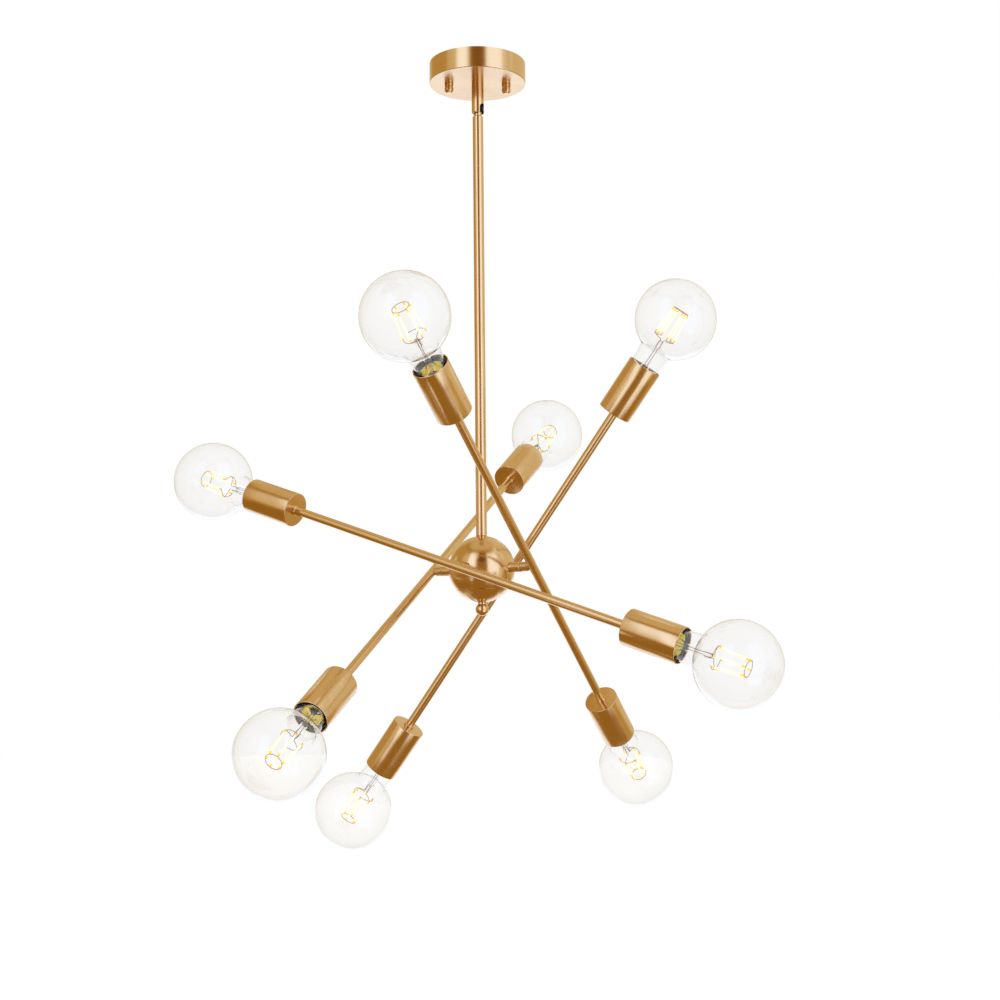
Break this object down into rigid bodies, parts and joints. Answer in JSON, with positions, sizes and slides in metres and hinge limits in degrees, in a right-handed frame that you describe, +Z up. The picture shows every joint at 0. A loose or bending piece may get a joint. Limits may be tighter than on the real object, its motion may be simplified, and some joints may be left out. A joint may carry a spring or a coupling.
{
  "type": "multi arm chandelier",
  "caption": "Hanging brass light: straight arms turn on stubs of a round hub, with a clear globe bulb in a cup at both ends, on a stem with a ceiling swivel.",
  "frame": {"origin": "centre of the ceiling face, where the canopy rim and crossbar meet the ceiling", "axes": "+Z up out of the ceiling face, +X along the crossbar and its slots, -Y the front"},
  "size_m": [0.6722, 0.6488, 0.9443],
  "materials": {
    "canopy_brass": "brushed, lacquered",
    "turned_brass": "turned, satin",
    "tube_brass": "brushed along and round the tube",
    "arm_brass": "brushed",
    "cup_brass": "brushed round the cup",
    "hub_brass": "brushed round the hub",
    "cover_brass": "brushed",
    "finial_brass": "polished",
    "zinc_steel": "zinc plated",
    "black_insulator": "moulded",
    "bulb_glass": "clear",
    "stem_glass": "clear",
    "base_metal": "rolled",
    "filament": "phosphor coat, lit"
  },
  "bodies": {
    "canopy": {"canopy": "canopy_brass", "crossbar": "zinc_steel", "canopy_studs": "zinc_steel", "cap_nuts": "turned_brass", "swivel_housing": "turned_brass", "swivel_nut": "zinc_steel"},
    "swivel": {"swivel_ball": "turned_brass"},
    "stem_and_hub": {"stem": "tube_brass", "stem_nipple": "zinc_steel", "hub_nut": "zinc_steel", "hub_shell": "hub_brass", "hub_bridge": "zinc_steel", "hub_rod": "zinc_steel", "hub_cover": "cover_brass", "finial": "finial_brass", "hub_stubs": "turned_brass"},
    "arm_1": {"arm_1_tube": "arm_brass", "arm_1_knuckle": "turned_brass", "arm_1_knuckle_nut": "zinc_steel", "arm_1_upper_cup": "cup_brass", "arm_1_lower_cup": "cup_brass", "arm_1_upper_globe": "bulb_glass", "arm_1_lower_globe": "bulb_glass", "arm_1_lampholders": "black_insulator", "arm_1_bulb_bases": "base_metal", "arm_1_bulb_stems": "stem_glass", "arm_1_filaments": "filament"},
    "arm_2": {"arm_2_tube": "arm_brass", "arm_2_knuckle": "turned_brass", "arm_2_knuckle_nut": "zinc_steel", "arm_2_upper_cup": "cup_brass", "arm_2_lower_cup": "cup_brass", "arm_2_upper_globe": "bulb_glass", "arm_2_lower_globe": "bulb_glass", "arm_2_lampholders": "black_insulator", "arm_2_bulb_bases": "base_metal", "arm_2_bulb_stems": "stem_glass", "arm_2_filaments": "filament"},
    "arm_3": {"arm_3_tube": "arm_brass", "arm_3_knuckle": "turned_brass", "arm_3_knuckle_nut": "zinc_steel", "arm_3_upper_cup": "cup_brass", "arm_3_lower_cup": "cup_brass", "arm_3_upper_globe": "bulb_glass", "arm_3_lower_globe": "bulb_glass", "arm_3_lampholders": "black_insulator", "arm_3_bulb_bases": "base_metal", "arm_3_bulb_stems": "stem_glass", "arm_3_filaments": "filament"},
    "arm_4": {"arm_4_tube": "arm_brass", "arm_4_knuckle": "turned_brass", "arm_4_knuckle_nut": "zinc_steel", "arm_4_upper_cup": "cup_brass", "arm_4_lower_cup": "cup_brass", "arm_4_upper_globe": "bulb_glass", "arm_4_lower_globe": "bulb_glass", "arm_4_lampholders": "black_insulator", "arm_4_bulb_bases": "base_metal", "arm_4_bulb_stems": "stem_glass", "arm_4_filaments": "filament"}
  },
  "joints": [
    {"name": "swivel_tilt", "type": "hinge", "parent": "canopy", "child": "swivel", "pos_m": [0, 0, -0.0555], "axis": [-0.5299, -0.848, 0], "range_deg": [-3, 45]},
    {"name": "stem_turn", "type": "hinge", "parent": "swivel", "child": "stem_and_hub", "pos_m": [0, 0, -0.066], "axis": [0, 0, 1], "range_deg": [-170, 170]},
    {"name": "arm_1_turn", "type": "hinge", "parent": "stem_and_hub", "child": "arm_1", "pos_m": [0.05682, -0.03551, -0.6135], "axis": [0.848, -0.5299, 0], "range_deg": [-43.75, 33.25]},
    {"name": "arm_2_turn", "type": "hinge", "parent": "stem_and_hub", "child": "arm_2", "pos_m": [0.03551, 0.05682, -0.6135], "axis": [0.5299, 0.848, 0], "range_deg": [-33.3, 43.7]},
    {"name": "arm_3_turn", "type": "hinge", "parent": "stem_and_hub", "child": "arm_3", "pos_m": [-0.05682, 0.03551, -0.6135], "axis": [-0.848, 0.5299, 0], "range_deg": [-50.6, 26.4]},
    {"name": "arm_4_turn", "type": "hinge", "parent": "stem_and_hub", "child": "arm_4", "pos_m": [-0.03551, -0.05682, -0.6135], "axis": [-0.5299, -0.848, 0], "range_deg": [-65.5, 11.5]}
  ]
}
